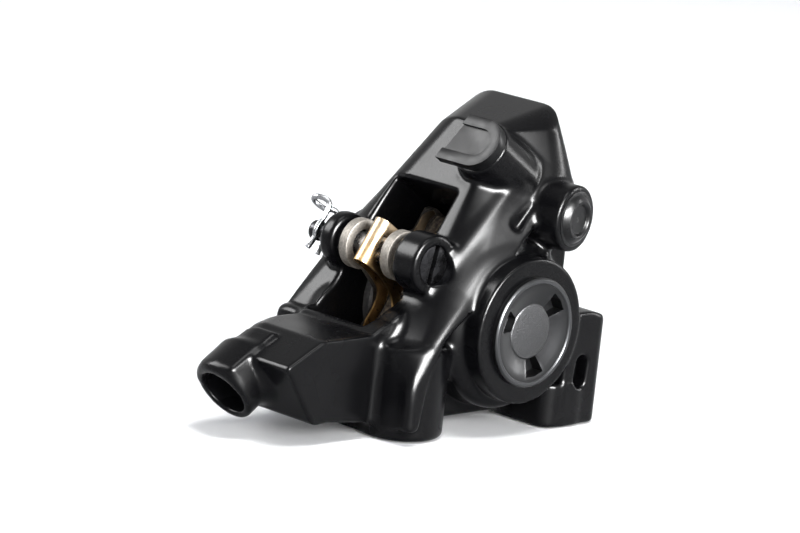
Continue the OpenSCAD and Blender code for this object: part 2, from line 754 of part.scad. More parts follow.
// Outline of the nipple's cap: slanted inboard end and half-round outboard end
module cap_outline(inset, reach, thickness) {
    r = cap_w / 2 - inset;
    cylinder(r = r, h = thickness);
    linear_extrude(thickness) polygon([[-r, 0], [r, 0], [r, reach - 2.3], [-r, reach]]);
}

module bleed_nipple_cap() {
    thick = 1.7;
    skirt = 1.6;
    reach = cap_len - cap_w / 2;
    color("#54565b") nipple_frame() translate([0, -0.6, nipple_boss_t + 0.1]) difference() {
        union() {
            cap_outline(0, reach, thick);
            translate([0, 0.6, -skirt]) cylinder(r = 3.15, h = skirt + 0.1);
        }
        translate([0, 0, thick - 0.5]) cap_outline(1.8, reach + 3, 1);
        translate([0, 0.6, -skirt - 1]) cylinder(r = 2.2, h = skirt + 1.6);
    }
}

// Ball pressed into the inboard mouth of the cross drilling
module gallery_plug() {
    color(steel) pad_frame() translate([nipple_s, plug_y + plug_r, cross_t]) sphere(r = plug_r);
}

caliper_body();
bore_cap();
bore_cap_seal();
piston_outboard();
piston_inboard();
piston_seal_outboard();
piston_seal_inboard();
pad_plate_outboard();
pad_plate_inboard();
pad_friction_outboard();
pad_friction_inboard();
pad_spring();
pad_axle();
snap_retainer();
bleed_screw();
bleed_screw_seal();
bleed_screw_cover();
bleed_nipple();
bleed_nipple_seal();
bleed_nipple_cap();
gallery_plug();
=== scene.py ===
import math

import bmesh
import bpy
import numpy as np
import openvdb
from mathutils import Matrix, Vector


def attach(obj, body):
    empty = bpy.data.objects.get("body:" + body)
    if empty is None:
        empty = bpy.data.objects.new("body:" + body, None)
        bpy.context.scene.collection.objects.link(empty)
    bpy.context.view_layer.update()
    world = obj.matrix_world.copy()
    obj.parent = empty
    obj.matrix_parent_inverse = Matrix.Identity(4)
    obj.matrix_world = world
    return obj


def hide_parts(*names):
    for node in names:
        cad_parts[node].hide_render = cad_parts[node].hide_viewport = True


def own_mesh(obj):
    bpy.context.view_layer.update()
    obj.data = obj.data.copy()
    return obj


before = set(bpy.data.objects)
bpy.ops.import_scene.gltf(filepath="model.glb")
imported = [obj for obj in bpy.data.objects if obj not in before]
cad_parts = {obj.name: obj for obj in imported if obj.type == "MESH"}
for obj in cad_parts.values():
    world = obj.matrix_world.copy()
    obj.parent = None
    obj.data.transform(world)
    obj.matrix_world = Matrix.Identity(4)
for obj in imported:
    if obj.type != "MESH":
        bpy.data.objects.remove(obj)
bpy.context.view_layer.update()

MM = 0.001
VOXEL = 0.3

# Driving sizes in millimetres, the same as the construction's
PISTON_X = 1.0
PISTON_Z = 16.6
BORE_R = 11.0
BORE_END = 14.78
SEAL_GROOVE_R = 12.8
SEAL_GROOVE = (7.7, 9.7)
HOUSING_R = 13.5
RING_R = 11.6
CAP_HOLE_R = 7.73
SLOPE = math.radians(33)
ROTOR_Y = 10.2
SLOT_W = 5.0
SLOT_OUT = ROTOR_Y - SLOT_W / 2
SLOT_IN = ROTOR_Y + SLOT_W / 2
ROTOR_R = 72.0
ROTOR_X = 49.0
ROTOR_Z = -21.0
AXLE_T = 18.6
AXLE_BOSS_OUT_R = 4.7
AXLE_BOSS_IN_R = 4.3
AXLE_BORE_R = 2.05
AXLE_HEAD_BORE_R = 3.05
RIM_T = 17.0
RIDGE_OUT = 2.1
RIDGE_IN = 2 * ROTOR_Y + RIDGE_OUT
CHEEK_IN = RIDGE_IN + 1.7
ARM_OUT = 7.0
ARM_FRONT = -22.5
PITCH = 34.0
HOLE_X = PITCH / 2
FOOT_R = 6.0
THREAD_R = 2.5
THREAD_DEEP = 12.0
BOSS_OUT = 8.8
BLEED = (9.6, -8.0, 33.8)
BLEED_TURN = math.radians(9)
INTO_BLEED = (-math.sin(BLEED_TURN), math.cos(BLEED_TURN), 0)
BLEED_BOSS_R = 5.3
BLEED_RIB_R = 2.1
COVER_SEAT_R = 3.8
FITTING_R = 2.53
NIPPLE_S = 20.4
NIPPLE_Y = 1.4
NIPPLE_T = 19.3
NIPPLE_BOSS_R = 4.7
NIPPLE_SEAT_R = 3.2
PLUG_HOLE_R = 1.62
PORT = (-44.0, 12.0, 6.2)
PORT_ANGLE = math.radians(36)
PORT_R = 4.0
PORT_BOSS_R = 5.25
INTO_PORT = (math.cos(PORT_ANGLE), 0, math.sin(PORT_ANGLE))
NOSE_TOP = 16.2
REAR_TOP = 18.4
REAR_OUT = -8.2
REAR_END = HOLE_X + 3.6
POCKET_HALF = 6.7
PAD_LEN = 25.0
PAD_TOP = 8.8
PAD_BOTTOM = 9.4
PLATE_OUTER = 5.35
WALL_OUT = ROTOR_Y - POCKET_HALF
WALL_IN = ROTOR_Y + POCKET_HALF
AXLE_FACE_IN = ROTOR_Y + 9.8

# Sprung sheet: half its saddle's length, the outside and the middle of its walls, and its leaves' tips
SHEET_HALF = 3.8
SHEET_WALL = 1.45
SHEET_THICK = 0.35
SHEET_MID = SHEET_WALL - SHEET_THICK / 2
SADDLE_T = AXLE_T + 2.3
WALL_LOW_T = PAD_TOP + 2.4
TIP_S = PAD_LEN / 2 - 0.8
TIP_Y = 3.5


def st(s, t):
    """Point [x, z] at s up the slope and t out from the piston centre."""
    return (
        PISTON_X + s * math.sin(SLOPE) - t * math.cos(SLOPE),
        PISTON_Z + s * math.cos(SLOPE) + t * math.sin(SLOPE),
    )


def slope_point(s, y, t):
    """The same point with its place across the bicycle, in metres."""
    x, z = st(s, t)
    return Vector((x, y, z)) * MM


def along(point, direction, distance):
    """A point moved along a direction."""
    return [p + distance * d for p, d in zip(point, direction)]


def normal(turn, rise):
    """Unit vector with a turn in the plane of the first two axes and a rise above it, in degrees."""
    turn, rise = math.radians(turn), math.radians(rise)
    return (math.cos(rise) * math.cos(turn), math.cos(rise) * math.sin(turn), math.sin(rise))


# Camera and studio


def add_camera():
    """Camera at the photograph's angle, rolled so that the object leans as it does there."""
    turn = math.radians(46.95)
    rise = math.radians(11.76)
    roll = math.radians(6.2)
    distance = 0.65
    aim = Vector((-6.62, 13.19, 22.72)) * MM
    side = Vector((math.cos(turn), -math.sin(turn), 0))
    back = Vector((-math.sin(turn) * math.cos(rise), -math.cos(turn) * math.cos(rise), math.sin(rise)))
    up = back.cross(side)
    right = side * math.cos(roll) + up * math.sin(roll)
    top = back.cross(right)
    data = bpy.data.cameras.new("camera")
    data.sensor_width = 36
    data.lens = 185.7
    data.clip_end = 20
    camera = bpy.data.objects.new("camera", data)
    turned = Matrix((right, top, back)).transposed().to_4x4()
    camera.matrix_world = Matrix.Translation(aim + back * distance) @ turned
    bpy.context.scene.collection.objects.link(camera)
    bpy.context.scene.camera = camera


def add_light(name, place, aim, size, power, gloss_only=False):
    """Soft rectangular lamp that points at a place. A gloss lamp shows in reflections alone."""
    data = bpy.data.lights.new(name, "AREA")
    data.shape = "RECTANGLE"
    data.size, data.size_y = size
    data.energy = power
    lamp = bpy.data.objects.new(name, data)
    lamp.location = place
    lamp.visible_diffuse = not gloss_only
    lamp.rotation_euler = (Vector(aim) - Vector(place)).to_track_quat("-Z", "Y").to_euler()
    bpy.context.scene.collection.objects.link(lamp)


def background_rays(nodes, links):
    """A factor that is 1 for rays that show the background: from the camera, gloss and glass."""
    path = nodes.new("ShaderNodeLightPath")
    first = nodes.new("ShaderNodeMath")
    first.operation = "MAXIMUM"
    second = nodes.new("ShaderNodeMath")
    second.operation = "MAXIMUM"
    links.new(path.outputs["Is Camera Ray"], first.inputs[0])
    links.new(path.outputs["Is Glossy Ray"], first.inputs[1])
    links.new(first.outputs[0], second.inputs[0])
    links.new(path.outputs["Is Transmission Ray"], second.inputs[1])
    return second.outputs[0]


def add_world():
    world = bpy.data.worlds.new("studio")
    world.use_nodes = True
    nodes, links = world.node_tree.nodes, world.node_tree.links
    nodes.clear()
    out = nodes.new("ShaderNodeOutputWorld")
    ambient = nodes.new("ShaderNodeBackground")
    ambient.inputs["Color"].default_value = (0.8, 0.84, 0.9, 1)
    ambient.inputs["Strength"].default_value = 0.45
    shown = nodes.new("ShaderNodeBackground")
    shown.inputs["Color"].default_value = (1, 1, 1, 1)
    mix = nodes.new("ShaderNodeMixShader")
    links.new(background_rays(nodes, links), mix.inputs["Fac"])
    links.new(ambient.outputs[0], mix.inputs[1])
    links.new(shown.outputs[0], mix.inputs[2])
    links.new(mix.outputs[0], out.inputs["Surface"])
    bpy.context.scene.world = world


def add_floor():
    """Pale floor under the mounting face."""
    half, height = 1.5, -0.2 * MM
    corners = [(-half, -half, height), (half, -half, height), (half, half, height), (-half, half, height)]
    mesh = bpy.data.meshes.new("floor")
    mesh.from_pydata(corners, [], [(0, 1, 2, 3)])
    floor = bpy.data.objects.new("floor", mesh)
    bpy.context.scene.collection.objects.link(floor)
    mat = bpy.data.materials.new("floor")
    mat.use_nodes = True
    shader = mat.node_tree.nodes["Principled BSDF"]
    shader.inputs["Base Color"].default_value = (0.93, 0.93, 0.935, 1)
    shader.inputs["Roughness"].default_value = 0.9
    mesh.materials.append(mat)


# Materials


class Look:
    """A material with a Principled shader, and short ways to give it noise, colour and bump."""

    def __init__(self, name, color, metallic, roughness, index=None):
        self.mat = bpy.data.materials.new(name)
        self.mat.use_nodes = True
        self.nodes = self.mat.node_tree.nodes
        self.links = self.mat.node_tree.links
        self.shader = self.nodes["Principled BSDF"]
        self.shader.inputs["Base Color"].default_value = (*color, 1)
        self.shader.inputs["Metallic"].default_value = metallic
        self.shader.inputs["Roughness"].default_value = roughness
        if index:
            self.shader.inputs["IOR"].default_value = index
        self.place = self.nodes.new("ShaderNodeTexCoord").outputs["Object"]

    def noise(self, scale, detail, stretch=None):
        tex = self.nodes.new("ShaderNodeTexNoise")
        tex.inputs["Scale"].default_value = scale
        tex.inputs["Detail"].default_value = detail
        source = self.place
        if stretch:
            warp = self.nodes.new("ShaderNodeMapping")
            warp.inputs["Scale"].default_value = stretch
            self.links.new(self.place, warp.inputs["Vector"])
            source = warp.outputs["Vector"]
        self.links.new(source, tex.inputs["Vector"])
        return tex.outputs["Fac"]

    def cells(self, scale):
        tex = self.nodes.new("ShaderNodeTexVoronoi")
        tex.inputs["Scale"].default_value = scale
        self.links.new(self.place, tex.inputs["Vector"])
        return tex.outputs["Distance"]

    def ramp(self, source, stops):
        """Colour that runs through (position, colour) stops."""
        node = self.nodes.new("ShaderNodeValToRGB")
        items = node.color_ramp.elements
        items[0].position, items[0].color = stops[0][0], (*stops[0][1], 1)
        items[1].position, items[1].color = stops[-1][0], (*stops[-1][1], 1)
        for position, color in stops[1:-1]:
            items.new(position).color = (*color, 1)
        self.links.new(source, node.inputs["Fac"])
        return node.outputs["Color"]

    def span(self, source, low, high, to_low, to_high):
        """A value carried from one range to another, held at its ends."""
        node = self.nodes.new("ShaderNodeMapRange")
        for name, value in (("From Min", low), ("From Max", high), ("To Min", to_low), ("To Max", to_high)):
            node.inputs[name].default_value = value
        self.links.new(source, node.inputs["Value"])
        return node.outputs["Result"]

    def math(self, kind, a, b=None):
        """One sum of sockets or numbers."""
        node = self.nodes.new("ShaderNodeMath")
        node.operation = kind
        for i, value in enumerate((a, b)):
            if value is None:
                continue
            if isinstance(value, (int, float)):
                node.inputs[i].default_value = value
            else:
                self.links.new(value, node.inputs[i])
        return node.outputs[0]

    def axis_values(self):
        """x, y and z of the point, in millimetres."""
        node = self.nodes.new("ShaderNodeSeparateXYZ")
        self.links.new(self.place, node.inputs[0])
        return [self.math("MULTIPLY", out, 1000) for out in node.outputs]

    def radius(self, x, z):
        """Distance in millimetres from a line along Y."""
        px, _, pz = self.axis_values()
        across = self.math("SUBTRACT", px, x)
        above = self.math("SUBTRACT", pz, z)
        squares = [self.math("MULTIPLY", offset, offset) for offset in (across, above)]
        return self.math("SQRT", self.math("ADD", *squares))

    def link(self, source, name):
        self.links.new(source, self.shader.inputs[name])

    def color(self, source, stops):
        self.link(self.ramp(source, stops), "Base Color")

    def mottle(self, scale, detail, low, high, stretch=None):
        """Roughness that wanders between two values."""
        self.link(self.span(self.noise(scale, detail, stretch), 0.3, 0.7, low, high), "Roughness")

    def bump(self, source, depth, strength):
        node = self.nodes.new("ShaderNodeBump")
        node.inputs["Distance"].default_value = depth
        node.inputs["Strength"].default_value = strength
        self.links.new(source, node.inputs["Height"])
        self.links.new(node.outputs["Normal"], self.shader.inputs["Normal"])


def paint_look():
    """Dark satin paint with a little flake and orange peel."""
    look = Look("paint", (0.004, 0.0041, 0.0046), 0.0, 0.26, 1.145)
    look.color(look.noise(9000, 1), [(0.35, (0.0018, 0.0018, 0.0022)), (0.7, (0.0042, 0.0042, 0.005))])
    look.mottle(160, 3, 0.23, 0.29)
    look.bump(look.noise(1400, 2), 0.000006, 0.2)
    return look.mat


def cap_look():
    """Satin anodised cap with a grained disc. Its stops are centimetres from its axis."""
    look = Look("cap_satin", (0.13, 0.135, 0.142), 0.85, 0.42)
    from_axis = look.math("DIVIDE", look.radius(PISTON_X, PISTON_Z), 10)
    look.color(from_axis, [
        (0.0, (0.013, 0.0133, 0.014)), (0.43, (0.014, 0.0143, 0.015)), (0.45, (0.005, 0.005, 0.0055)),
        (0.5, (0.01, 0.0102, 0.0108)), (0.74, (0.0095, 0.0098, 0.0104)), (0.78, (0.005, 0.005, 0.0055)),
        (0.8, (0.034, 0.035, 0.037)), (0.875, (0.018, 0.0185, 0.0195)),
    ])
    in_disc = look.span(from_axis, 0.42, 0.45, 1, 0.06)
    grain = look.math("MULTIPLY", look.noise(4600, 3), in_disc)
    look.bump(grain, 0.00012, 0.8)
    look.link(look.span(from_axis, 0.43, 0.5, 0.42, 0.3), "Roughness")
    return look.mat


def steel_look(name, color, roughness):
    """Bright steel with a worn sheen."""
    look = Look(name, color, 1.0, roughness)
    look.mottle(900, 3, roughness * 0.75, roughness * 1.3)
    look.bump(look.noise(3000, 2), 0.000004, 0.3)
    return look.mat


def axle_look():
    """Blackened head and tip, bright shank between the bosses."""
    look = Look("axle_steel", (0.3, 0.3, 0.31), 1.0, 0.3)
    _, y, _ = look.axis_values()
    past_head = look.span(y, 1.3, 1.5, 0, 1)
    before_tip = look.span(y, AXLE_FACE_IN - 0.2, AXLE_FACE_IN, 1, 0)
    look.color(look.math("MULTIPLY", past_head, before_tip), [
        (0.0, (0.012, 0.012, 0.013)), (1.0, (0.5, 0.5, 0.51)),
    ])
    look.mottle(1200, 2, 0.22, 0.36)
    return look.mat


def plate_look():
    """Blasted backing plate, beige with darker specks, with painted shade where it sits deep in the pocket.
    """
    look = Look("plate_steel", (0.32, 0.28, 0.23), 0.35, 0.6)
    x, _, z = look.axis_values()
    rise = look.math("MULTIPLY", look.math("SUBTRACT", z, PISTON_Z), math.sin(SLOPE))
    run = look.math("MULTIPLY", look.math("SUBTRACT", x, PISTON_X), math.cos(SLOPE))
    # Painted shade: the colour darkens lower down the plate, deep in the pocket where shade falls
    pocket_shade = look.span(look.math("SUBTRACT", rise, run), 9.5, 13.5, -0.25, 0)
    look.color(look.math("ADD", look.noise(2600, 4), pocket_shade), [
        (0.1, (0.012, 0.011, 0.01)), (0.3, (0.05, 0.043, 0.035)), (0.5, (0.085, 0.075, 0.062)),
        (0.75, (0.15, 0.134, 0.114)),
    ])
    look.bump(look.noise(3200, 3), 0.00003, 0.6)
    return look.mat


def lining_look():
    """Pressed friction lining with pale and dark grains."""
    look = Look("lining", (0.09, 0.075, 0.06), 0.1, 0.85)
    look.color(look.noise(1800, 5), [
        (0.35, (0.035, 0.03, 0.027)), (0.55, (0.12, 0.1, 0.08)), (0.8, (0.3, 0.24, 0.17)),
    ])
    look.bump(look.cells(1500), 0.00008, 0.7)
    return look.mat


def spring_look():
    """Polished sprung steel with a straw tint that is stronger lower down, on the inner walls; the top is
    painted darker as shade that tones down its highlights.
    """
    look = Look("spring_steel", (0.78, 0.6, 0.36), 1.0, 0.22)
    _, _, z = look.axis_values()
    # Painted shade: the colour darkens with height so that the lit top does not blow out
    look.color(look.math("DIVIDE", z, 40), [
        (0.4, (0.34, 0.2, 0.075)), (0.66, (0.24, 0.16, 0.08)), (0.76, (0.19, 0.145, 0.095)),
    ])
    look.mottle(700, 3, 0.26, 0.4, (1, 6, 1))
    look.bump(look.noise(2000, 2, (1, 5, 1)), 0.000006, 0.4)
    return look.mat


def rubber_look(name, color, roughness, index=1.45):
    """Moulded rubber or plastic with a fine grain."""
    look = Look(name, color, 0.0, roughness, index)
    look.mottle(600, 3, roughness * 0.85, roughness * 1.15)
    look.bump(look.noise(4200, 3), 0.000012, 0.5)
    return look.mat


def piston_look():
    """Grey moulded piston."""
    look = Look("phenolic", (0.05, 0.05, 0.054), 0.0, 0.55)
    look.color(look.noise(1500, 4), [(0.3, (0.03, 0.03, 0.033)), (0.75, (0.09, 0.088, 0.085))])
    look.bump(look.noise(2600, 2), 0.00001, 0.4)
    return look.mat


# Distance fields for the casting, in millimetres


class Field:
    """Signed distance on a grid: negative inside. The grid's X-Z sheet is kept apart from its Y row."""

    def __init__(self, low, high, step):
        counts = [int(math.ceil((b - a) / step)) + 1 for a, b in zip(low, high)]
        xs, ys, zs = [(a + step * np.arange(n)).astype(np.float32) for a, n in zip(low, counts)]
        self.x = xs[:, None, None]
        self.y = ys[None, :, None]
        self.z = zs[None, None, :]
        dx, dz = self.x - PISTON_X, self.z - PISTON_Z
        self.s = dx * math.sin(SLOPE) + dz * math.cos(SLOPE)
        self.t = dz * math.sin(SLOPE) - dx * math.cos(SLOPE)

    def plane(self, point, outward):
        """Distance past a plane through a point."""
        n = np.array(outward, float) / np.linalg.norm(outward)
        return (self.x - point[0]) * n[0] + (self.y - point[1]) * n[1] + (self.z - point[2]) * n[2]

    def beyond(self, point, turn, rise):
        """Distance past a plane whose outward normal has a turn about Z and a rise above level."""
        return self.plane(point, normal(turn, rise))

    def slope_beyond(self, point, turn, rise):
        """The same in the frame of the pads, whose axes are s, y and t."""
        n = normal(turn, rise)
        return (self.s - point[0]) * n[0] + (self.y - point[1]) * n[1] + (self.t - point[2]) * n[2]

    def slab(self, low, high):
        """Everything between two places in Y."""
        return np.abs(self.y - (low + high) / 2) - (high - low) / 2

    def side(self, low, high, points, r):
        """Outline in X and Z between two places in Y, with all its edges rounded."""
        return rounded(outline(self.x, self.z, inset(points, r)), self.slab(low, high) + r, r)

    def slope_side(self, low, high, points, r):
        """The same for an outline in the pads' frame."""
        return rounded(outline(self.s, self.t, inset(points, r)), self.slab(low, high) + r, r)

    def rod_y(self, x, z, radius, low, high, r):
        """Rod along Y, with rounded rims."""
        across = np.sqrt((self.x - x) ** 2 + (self.z - z) ** 2) - radius + r
        return rounded(across, self.slab(low, high) + r, r)

    def rod(self, p, q, radius, r):
        """Rod between two points, with rounded rims."""
        p, q = np.array(p, float), np.array(q, float)
        length = np.linalg.norm(q - p)
        n = (q - p) / length
        dx, dy, dz = self.x - p[0], self.y - p[1], self.z - p[2]
        climb = dx * n[0] + dy * n[1] + dz * n[2]
        across = np.sqrt(np.maximum(dx * dx + dy * dy + dz * dz - climb * climb, 0)) - radius + r
        return rounded(across, np.abs(climb - length / 2) - length / 2 + r, r)

    def plan(self, low, high, points, r):
        """Outline in X and Y with round corners, between two heights."""
        across = outline(self.x, self.y, inset(points, r)) - r
        return both(across, np.abs(self.z - (low + high) / 2) - (high - low) / 2, 0.5)

    def capsule(self, p, q, radius, depth):
        """Slot with round ends between two points, sunk along Y from their place."""
        ex, ez = q[0] - p[0], q[2] - p[2]
        wx, wz = self.x - p[0], self.z - p[2]
        h = np.clip((wx * ex + wz * ez) / (ex * ex + ez * ez), 0, 1)
        across = np.sqrt((wx - h * ex) ** 2 + (wz - h * ez) ** 2) - radius
        return both(across, self.slab(p[1], p[1] + depth), 0.3)


def rounded(a, b, r):
    """Solid where a and b, both moved in by r, meet, grown back by r."""
    return np.sqrt(np.maximum(a, 0) ** 2 + np.maximum(b, 0) ** 2) + np.minimum(np.maximum(a, b), 0) - r


def both(a, b, r):
    """Intersection with its edge rounded."""
    return np.minimum(-r, np.maximum(a, b)) + np.sqrt(np.maximum(a + r, 0) ** 2 + np.maximum(b + r, 0) ** 2)


def join(a, b, r):
    """Union with a fillet."""
    return np.maximum(r, np.minimum(a, b)) - np.sqrt(np.maximum(r - a, 0) ** 2 + np.maximum(r - b, 0) ** 2)


def cut(a, b, r):
    """a without b, with its edge rounded."""
    return both(a, -b, r)


def inset(points, r):
    """Outline moved in by r: each side is shifted and its neighbours meet again."""
    area = sum(a[0] * b[1] - b[0] * a[1] for a, b in zip(points, points[1:] + points[:1]))
    turn = 1 if area > 0 else -1
    lines = []
    for a, b in zip(points, points[1:] + points[:1]):
        dx, dz = b[0] - a[0], b[1] - a[1]
        length = math.hypot(dx, dz)
        nx, nz = -dz / length * turn, dx / length * turn
        lines.append((nx, nz, nx * (a[0] + nx * r) + nz * (a[1] + nz * r)))
    moved = []
    for (ax, az, ac), (bx, bz, bc) in zip(lines[-1:] + lines[:-1], lines):
        det = ax * bz - bx * az
        moved.append(((ac * bz - bc * az) / det, (ax * bc - bx * ac) / det))
    return moved


def outline(u, v, points):
    """Distance to a closed outline in two coordinates."""
    best = None
    inside = np.zeros(np.broadcast(u, v).shape, bool)
    for (ax, az), (bx, bz) in zip(points, points[1:] + points[:1]):
        ex, ez = bx - ax, bz - az
        wx, wz = u - ax, v - az
        h = np.clip((wx * ex + wz * ez) / (ex * ex + ez * ez), 0, 1)
        d = (wx - h * ex) ** 2 + (wz - h * ez) ** 2
        best = d if best is None else np.minimum(best, d)
        crosses = ((v >= az) & (v < bz)) | ((v >= bz) & (v < az))
        left = (u - ax) * ez - (v - az) * ex
        inside ^= crosses & ((left < 0) if ez > 0 else (left > 0))
    return np.where(inside, -1, 1).astype(np.float32) * np.sqrt(best)


def block_and_arm(f, flank):
    """Block over the pads and the arm outboard of them, seen from the side."""
    block = f.side(-ARM_OUT - 6, CHEEK_IN, [
        (ARM_FRONT, 12.5), (ARM_FRONT, 15.8), st(-12.4, RIM_T), st(25, RIM_T), (13.3, 50), (16.6, 38),
        (14, 34), (5.2, 32.4), (-0.5, 27.8), (-8.7, 21.2), (-14, 17.4), (-18, 14.5), (-20, 12.5),
    ], 1.0)
    return both(block, flank, 2.4)


def cheeks_and_web(f, flank):
    """Walls on both sides of the pads, down to the mounting face, with the web behind the arm."""
    cheeks = f.side(1, CHEEK_IN, [
        (-21, 1), (-21.5, 15.4), st(-12.4, RIM_T), st(18, 12), (16.4, 38), (16.8, 20), (16.8, 1),
    ], 0.9)
    web = f.side(-RIDGE_OUT, CHEEK_IN, [
        (15.2, 22), (-3, 22), (-12, 17), st(0, RIM_T), st(20, 12), (15.2, 38),
    ], 0.6)
    return both(join(cheeks, web, 1.0), flank, 2.4)


def nose_with_port(f):
    """Folded nose in front of the pads, with the hose port's boss."""
    port_x, port_y, port_z = PORT
    fold = port_x + 8.5
    inboard = port_y + 4.8
    nose = f.side(-ARM_OUT - 6, inboard, [
        (-20, 2), st(-8, RIM_T), (-25, NOSE_TOP), (fold, NOSE_TOP), (port_x - 4, port_z + 3.9),
        (port_x + 4, port_z - 3.6), (-33, 3.2),
    ], 1.2)
    nose = both(nose, -f.plane(along(PORT, INTO_PORT, 4.6), INTO_PORT), 0.8)
    wedge = f.side(port_y - 4, inboard, [
        (fold - 2.1, NOSE_TOP), (port_x - 2.9, port_z + 4.7), (port_x, port_z + 1.8),
        (fold - 0.5, NOSE_TOP - 6.2),
    ], 0.6)
    nose = join(nose, wedge, 0.8)
    nose = both(nose, f.beyond((fold - 2, inboard, NOSE_TOP - 3.4), 118, 40), 1.4)
    return join(nose, f.rod(PORT, along(PORT, INTO_PORT, 6.5), PORT_BOSS_R, 0.5), 2.0)


def outboard_limit(f):
    """Outboard of one crease, from the nose up the window's strip, lie the face, the band and the wall."""
    fall = np.radians(np.interp(f.s, (-12, -4, 6, 20), (10, 21, 30, 38))).astype(np.float32)
    crease = -0.2 + 0.084 * f.s
    face = (f.t - RIM_T) * np.cos(fall) - (f.y - crease) * np.sin(fall)
    band_s = (-12, -7.5, -1.4, 8.6, 15.5, 25)
    band_t = np.interp(f.s, band_s, (15.4, 13.8, 11.6, 8.8, 6.9, 4)).astype(np.float32)
    band_fall = math.radians(58)
    band = (f.t - band_t) * math.cos(band_fall) - (f.y + ARM_OUT) * math.sin(band_fall)
    arm = both(both(face, band, 1.5), -f.y - ARM_OUT, 1.2)
    arm = both(arm, ARM_FRONT - f.x, 1.2)
    before_arm = both(-f.y, f.x + 19, 1.0)
    return join(arm, before_arm, 1.6)


def upper_casting(f, flank):
    """Block, arm and nose as one flowing form with a bevelled top."""
    upper = join(block_and_arm(f, flank), nose_with_port(f), 3.5)
    upper = both(upper, outboard_limit(f), 0.45)
    upper = both(upper, f.beyond((0.3, 0.3, 46.8), 261.3, 21.7), 3.4)
    return both(upper, f.beyond((13.2, -1, 50), 315, 12), 4.2)


def front_foot(f):
    """Round foot with a bulge behind it and a stem inboard."""
    foot = f.rod((-HOLE_X, 0, 0), (-HOLE_X, 0, 14.6), FOOT_R, 0.8)
    bulge_x = 1.4 - HOLE_X
    foot = join(foot, f.rod((bulge_x, 0, 0), (bulge_x, 0, 14.2), FOOT_R - 0.3, 0.8), 0.5)
    stem = f.side(0, SLOT_OUT + 8, [(-22.4, 0), (-22.4, 13), (-11.4, 13), (-11.4, 0)], 0.5)
    return join(foot, stem, 0.8)


def rear_foot(f):
    """Square foot with two bevels and a rounded toe in front of it."""
    foot = f.side(REAR_OUT, SLOT_OUT, [
        (HOLE_X - 6.2, 0), (HOLE_X - 6.2, REAR_TOP), (REAR_END, REAR_TOP), (REAR_END, 0),
    ], 0.6)
    foot = both(foot, f.beyond((HOLE_X + 0.4, 0, REAR_TOP), 0, 66), 0.8)
    foot = both(foot, f.beyond((REAR_END, -6.6, 0), 315, 0), 0.6)
    toe_front, toe_back = 7.6, HOLE_X - 0.5
    toe = f.plan(0, 7, [(toe_front, 5), (toe_front, REAR_OUT), (toe_back, REAR_OUT), (toe_back, 5)], 2.6)
    return join(foot, toe, 0.8)


def housings(f):
    """Cylinder housings and their ring, each with the fillet that joins it."""
    end_wall = 2.2
    inner_end = ROTOR_Y + BORE_END + end_wall
    yield f.rod_y(PISTON_X, PISTON_Z, HOUSING_R, -5.2, WALL_OUT, 2.0), 1.2
    yield f.rod_y(PISTON_X, PISTON_Z, RING_R, -BOSS_OUT, WALL_OUT, 0.35), 0.8
    yield f.rod_y(PISTON_X, PISTON_Z, HOUSING_R, WALL_IN, inner_end, 2.4), 1.6


def bosses(f):
    """Axle bosses, the rib over the bleed drilling and both bleed bosses, each with its fillet."""
    axle_x, axle_z = st(0, AXLE_T)
    yield f.rod_y(axle_x, axle_z, AXLE_BOSS_OUT_R, -1.6, ROTOR_Y - PLATE_OUTER - 0.3, 0.6), 1.3
    yield f.rod_y(axle_x, axle_z, AXLE_BOSS_IN_R, ROTOR_Y + PLATE_OUTER + 0.3, AXLE_FACE_IN, 1.2), 1.3
    chamber_x, chamber_z = st(9.6, 0.5)
    chamber = (chamber_x, ROTOR_Y - BORE_END + 0.4, chamber_z)
    yield f.rod(chamber, along(BLEED, INTO_BLEED, 6.9), BLEED_RIB_R, 0.3), 0.8
    yield f.rod(BLEED, along(BLEED, INTO_BLEED, 9), BLEED_BOSS_R, 0.5), 0.9
    yield nipple_rod(f, 9, NIPPLE_T, NIPPLE_BOSS_R, 0.4), 1.0


def nipple_rod(f, low_t, high_t, radius, r):
    """Rod on the bleed nipple's axis, between two places out from the piston centre."""
    low_x, low_z = st(NIPPLE_S, low_t)
    high_x, high_z = st(NIPPLE_S, high_t)
    return f.rod((low_x, NIPPLE_Y, low_z), (high_x, NIPPLE_Y, high_z), radius, r)


def pad_pocket(f):
    """Pocket for both pads, with bevelled lower corners."""
    reach = PAD_LEN / 2 + 0.6
    bottom = -PAD_BOTTOM - 0.8
    return f.slope_side(WALL_OUT, WALL_IN, [
        (-reach, 30), (-reach, -5.8), (2.4 - reach, bottom),
        (reach - 2.4, bottom), (reach, -5.8), (reach, 30),
    ], 0.5)


